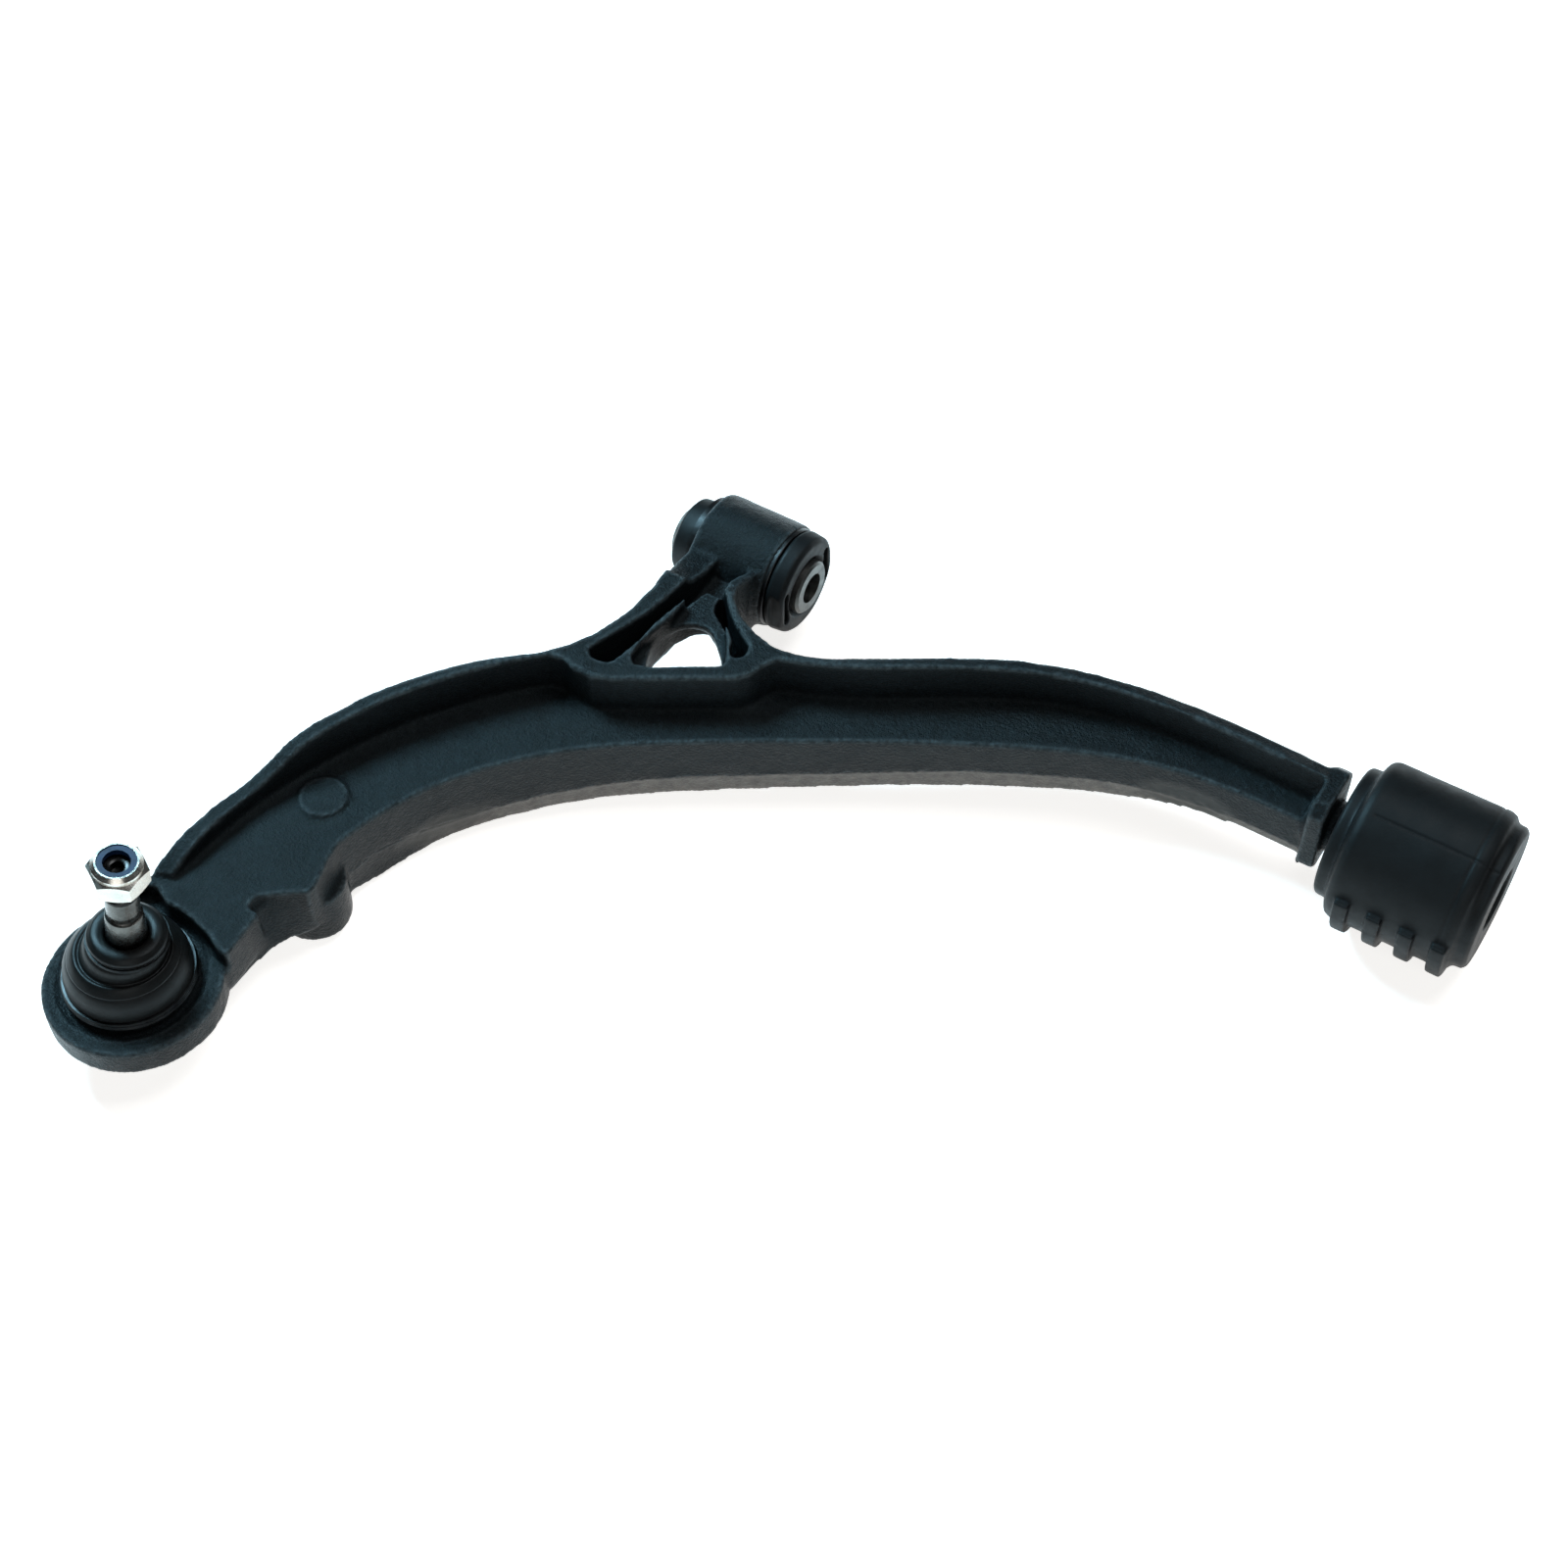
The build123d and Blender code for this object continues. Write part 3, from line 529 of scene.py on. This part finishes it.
def tube(name, loops, closed=True):
    """A mesh from rings of points, joined in order and, if closed, last to first."""
    sides, count = len(loops[0]), len(loops)
    verts = np.vstack(loops)
    faces = []
    for i in range(count if closed else count - 1):
        j = (i + 1) % count
        for k in range(sides):
            m = (k + 1) % sides
            faces.append((i * sides + k, i * sides + m, j * sides + m, j * sides + k))
    mesh = bpy.data.meshes.new(name)
    mesh.from_pydata(verts.tolist(), [], faces)
    work = bmesh.new()
    work.from_mesh(mesh)
    bmesh.ops.recalc_face_normals(work, faces=work.faces)
    work.to_mesh(mesh)
    work.free()
    obj = link(name, mesh)
    obj.data.shade_smooth()
    return obj


SIDES = 128
# the skirt, from the retaining ring over the shoulder into the crease
LOWER_OUT = [(0, -2.2, 23.1), (0, -0.4, 23.2), (0, 1.6, 23.2), (0, 3.4, 23.15), (0, 5.4, 22.9),
             (0.1, 8.0, 22.25), (0.2, 10.2, 21.2), (0.26, 11.4, 20.35)]
LOWER_IN = [(0, -2.2, 21.2), (0, 1.6, 21.2), (0, 5.0, 20.9), (0.15, 8.4, 19.6), (0.26, 10.6, 18.3)]
# the neck, from the crease up the roll, past the ring's groove, to the lip
UPPER_OUT = [(0.26, 11.4, 20.35), (0.34, 12.9, 19.2), (0.40, 13.9, 18.3), (0.46, 14.5, 17.5),
             (0.52, 14.4, 16.8), (0.56, 14.0, 16.2), (0.61, 14.5, 15.5), (0.68, 15.7, 15.1), (0.76, 17.2, 14.9),
             (0.84, 18.8, 14.5), (0.90, 19.8, 13.85), (0.94, 20.6, 13.5), (1, 21.4, 13.4),
             (1, 22.2, 13.55), (1, 22.8, 14.05), (1, 23.6, 14.2), (1, 24.4, 13.95),
             (1, 25.1, 13.2), (1, 25.8, 12.4), (1, 26.15, 11.2), (1, 26.2, 9.9), (1, 25.9, 8.7), (1, 25.3, 8.0),
             (1, 24.6, 7.75)]
UPPER_IN = [(0.26, 10.6, 18.3), (0.36, 11.9, 17.4), (0.46, 12.8, 16.6), (0.56, 13.2, 15.85), (0.64, 14.2, 14.95),
            (0.70, 15.7, 14.45), (0.80, 18.2, 13.1), (0.94, 20.6, 11.6), (1, 21.8, 10.2), (1, 22.6, 8.8), (1, 23.4, 8.1), (1, 24.0, 7.85)]


def boot_piece(name, outside, inside):
    rings = np.vstack([through(outside, 4), through(inside, 3)[::-1]])
    return tube(name, [boot_ring(*ring, SIDES) for ring in rings])


skirt = boot_piece("dust_boot_skirt", LOWER_OUT, LOWER_IN)
give(skirt, BOOT)
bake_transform(skirt, "arm", "socket_liner", start=(BALL[0], BALL[1], 0.002), end=(BALL[0], BALL[1], 0.0104))
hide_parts("dust_boot")

neck = boot_piece("dust_boot_neck", UPPER_OUT, UPPER_IN)
give(neck, BOOT)
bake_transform(neck, "socket_liner", "boot_collar", start=(BALL[0], BALL[1], 0.0114), end=(BALL[0], BALL[1], 0.0150))
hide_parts("dust_boot")

# the stud, with its rolled thread
X, Y, Z = lean_frame(LEAN)
PROFILE = [(-12.98, 0.4), (-12.4, 3.9), (-11.0, 6.93), (-9.0, 9.38), (-6.5, 11.26), (-3.4, 12.55),
           (0, 13.0), (3.4, 12.55), (6.5, 11.26), (9.0, 9.38), (10.6, 7.52), (11.4, 7.2), (15, 7.2),
           (21, 8.6), (26, 8.6), (28.4, 8.05), (30.5, 7.5), (34, 7.3), (38, 7.09), (42, 6.88),
           (44.9, 6.72), (45.2, 6.6), (45.55, 5.85), (45.7, 5.7), (46.7, 5.7), (46.9, 5.8), (47.2, 6.0)]


def stud_ring(s, r, sides=96, wave=None):
    t = np.linspace(0, 2 * math.pi, sides, endpoint=False)
    radius = np.full(sides, r, float) if wave is None else wave(s, t)
    return BALL + Z * s * MM + (np.outer(radius * np.cos(t), X) + np.outer(radius * np.sin(t), Y)) * MM


def thread(s, t):
    """Radius at height s and turn t of a 1.25 mm pitch thread that fades in."""
    turn = ((s - t / (2 * math.pi) * 1.25) / 1.25) % 1.0
    deep = 0.62 * min(max((s - 56.5) / 1.5, 0), 1) * min(max((72.0 - s) / 0.6, 0), 1)
    end = max(s - 71.6, 0) * 0.8
    return 5.985 - deep * np.clip(np.abs(turn - 0.5) * 2.2 - 0.12, 0, 0.9) - end


rings = [stud_ring(s, r) for s, r in PROFILE]
rings += [stud_ring(s, 6.0) for s in (49, 51, 53, 55, 56.3)]
rings += [stud_ring(s, 0, wave=thread) for s in np.arange(56.5, 72.55, 0.125)]
rings += [stud_ring(s, r) for s, r in ((72.6, 5.0), (72.6, 3.1), (72.3, 2.45), (69.0, 2.3), (68.7, 0.2))]
stud = tube("ball_stud_body", rings, closed=False)
work = bmesh.new()
work.from_mesh(stud.data)
bmesh.ops.holes_fill(work, edges=[x for x in work.edges if x.is_boundary], sides=200)
bmesh.ops.recalc_face_normals(work, faces=work.faces)
work.to_mesh(stud.data)
work.free()
stud.data.shade_smooth()
stud.data.set_sharp_from_angle(angle=math.radians(40))
along = (get_co(stud.data) - BALL) @ Z / MM
store(stud.data, "thread_end", np.clip((along - 56.6) / 0.6, 0, 1))
give(stud, TAPER)
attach(stud, "stud")
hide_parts("ball_stud")

# ------------------------------------------ carried-over nodes' materials
for name, material, width in (
        ("front_bush_outer_sleeve", OUTER, 0.0002), ("front_bush_inner_sleeve", SLEEVE, 0.0003),
        ("rear_bush_inner_sleeve", LINER, 0.0003), ("ball_joint_housing", HOUSING, 0.0003),
        ("bearing_seat", ACETAL, 0), ("ball_liner", ACETAL, 0), ("preload_spring", LINER, 0.0001),
        ("cover_plate", HOUSING, 0.0002), ("lock_nut", ZINC, 0.00025), ("nylon_insert", NYLON, 0.0002),
        ("boot_lower_ring", RING, 0), ("boot_upper_ring", RING, 0)):
    give(nodes[name], material)
    if width:
        bevel = nodes[name].modifiers.new("soft_edges", "BEVEL")
        bevel.width = width
        bevel.segments = 2
        bevel.limit_method = "ANGLE"
        bevel.angle_limit = math.radians(35)

# ------------------------------------------------------- floor and lights
lo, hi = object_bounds()
plane = bpy.data.meshes.new("floor")
plane.from_pydata([(-6, -6, lo.z), (6, -6, lo.z), (6, 6, lo.z), (-6, 6, lo.z)], [], [(0, 1, 2, 3)])
floor = link("floor", plane)
m = Nodes("floor", Roughness=0.95, Emission_Strength=0.80)
m.bsdf.inputs["Emission Color"].default_value = (1, 0.985, 0.965, 1)
m.bsdf.inputs["Specular IOR Level"].default_value = 0.0
give(floor, m.done(m.ramp(m.noise(1.5), [(0.3, (0.86, 0.855, 0.845)), (0.7, (0.89, 0.885, 0.875))])))

world = bpy.data.worlds.new("studio")
bpy.context.scene.world = world
world.use_nodes = True
world.node_tree.nodes["Background"].inputs["Color"].default_value = (0.93, 0.97, 1.0, 1)
world.node_tree.nodes["Background"].inputs["Strength"].default_value = 0.05


def softbox(name, place, target, width, height, power, colour=(1, 1, 1)):
    light = bpy.data.lights.new(name, "AREA")
    light.shape = "RECTANGLE"
    light.size, light.size_y, light.energy, light.color = width, height, power, colour
    obj = bpy.data.objects.new(name, light)
    bpy.context.scene.collection.objects.link(obj)
    obj.location = place
    obj.rotation_euler = (Vector(target) - Vector(place)).to_track_quat("-Z", "Y").to_euler()


softbox("left_box", (-0.80, 0.04, 1.02), (-0.08, -0.25, 0), 0.40, 0.45, 27, (0.50, 0.84, 1.0))
softbox("top_box", (0.55, 0.55, 2.0), (0.1, -0.1, 0), 1.0, 1.0, 15)
softbox("front_box", (1.1, -1.6, 1.5), (0.1, -0.1, 0), 1.4, 1.0, 9, (1.0, 0.985, 0.96))
